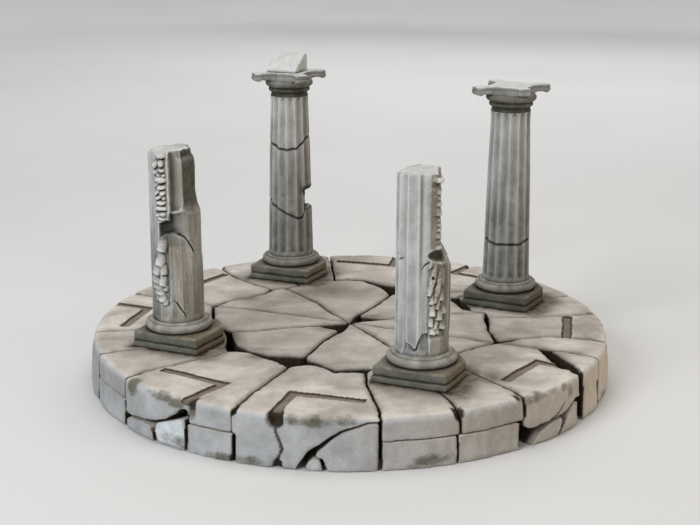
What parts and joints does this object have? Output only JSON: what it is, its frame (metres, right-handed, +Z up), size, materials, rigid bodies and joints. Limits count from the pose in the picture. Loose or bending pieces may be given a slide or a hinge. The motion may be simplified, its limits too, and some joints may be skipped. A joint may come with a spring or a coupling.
{
  "type": "miniature terrain ruin",
  "caption": "Round raised plaza of cracked stone paving with four lift-off Doric columns, two whole and two broken, for tabletop wargame scenery.",
  "frame": {"origin": "centre of the round base, on its underside", "axes": "+Z up along the columns, -Y towards the two broken columns' side of the base, +X to the right seen from there"},
  "size_m": [0.2026, 0.2026, 0.1158],
  "materials": {
    "paving_stone": "matt cast stone, painted warm bone with brown wash in the joints",
    "rim_stone": "matt cast stone, painted cool bone with dark stains low down",
    "column_stone": "matt cast stone, painted pale blue-grey, darker in the flutes",
    "plinth_stone": "matt cast stone, painted dark green-grey with paler edges",
    "core_filler": "matt plaster painted near black",
    "pin_brass": "drawn brass rod"
  },
  "bodies": {
    "base": {"core_disc": "core_filler", "hub_slab_1": "paving_stone", "hub_slab_2": "paving_stone", "hub_slab_3": "paving_stone", "hub_slab_4": "paving_stone", "hub_slab_5": "paving_stone", "hub_slab_6": "paving_stone", "hub_slab_7": "paving_stone", "hub_slab_8": "paving_stone", "rim_course_back": "rim_stone", "rim_course_front": "rim_stone", "rim_course_left": "rim_stone", "rim_course_right": "rim_stone", "rim_wedges": "rim_stone", "ring_slab_01": "paving_stone", "ring_slab_02": "paving_stone", "ring_slab_03": "paving_stone", "ring_slab_04": "paving_stone", "ring_slab_05": "paving_stone", "ring_slab_06": "paving_stone", "ring_slab_07": "paving_stone", "ring_slab_08": "paving_stone", "ring_slab_09": "paving_stone", "ring_slab_10": "paving_stone", "ring_slab_11": "paving_stone", "ring_slab_12": "paving_stone", "ring_slab_13": "paving_stone", "ring_slab_14": "paving_stone", "ring_slab_15": "paving_stone", "ring_slab_16": "paving_stone", "ring_slab_17": "paving_stone", "ring_slab_18": "paving_stone", "rubble_back_left": "rim_stone", "rubble_back_right": "rim_stone", "rubble_front_left": "rim_stone", "rubble_front_right": "rim_stone"},
    "front_left_column": {"front_left_base_ring": "column_stone", "front_left_pin": "pin_brass", "front_left_plinth": "plinth_stone", "front_left_shaft": "column_stone"},
    "back_left_column": {"back_left_abacus": "column_stone", "back_left_base_ring": "column_stone", "back_left_capital": "column_stone", "back_left_crown_block": "column_stone", "back_left_drum_lower": "column_stone", "back_left_drum_middle": "column_stone", "back_left_drum_upper": "column_stone", "back_left_pin": "pin_brass", "back_left_plinth": "plinth_stone"},
    "back_right_column": {"back_right_abacus": "column_stone", "back_right_base_ring": "column_stone", "back_right_capital": "column_stone", "back_right_drum_lower": "column_stone", "back_right_drum_upper": "column_stone", "back_right_pin": "pin_brass", "back_right_plinth": "plinth_stone"},
    "front_right_column": {"front_right_base_ring": "column_stone", "front_right_pin": "pin_brass", "front_right_plinth": "plinth_stone", "front_right_shaft": "column_stone"}
  },
  "joints": [
    {"name": "front_left_lift", "type": "slide", "parent": "base", "child": "front_left_column", "axis": [0, 0, 1], "range_m": [0, 0.018]},
    {"name": "back_left_lift", "type": "slide", "parent": "base", "child": "back_left_column", "axis": [0, 0, 1], "range_m": [0, 0.018]},
    {"name": "back_right_lift", "type": "slide", "parent": "base", "child": "back_right_column", "axis": [0, 0, 1], "range_m": [0, 0.018]},
    {"name": "front_right_lift", "type": "slide", "parent": "base", "child": "front_right_column", "axis": [0, 0, 1], "range_m": [0, 0.018]}
  ]
}
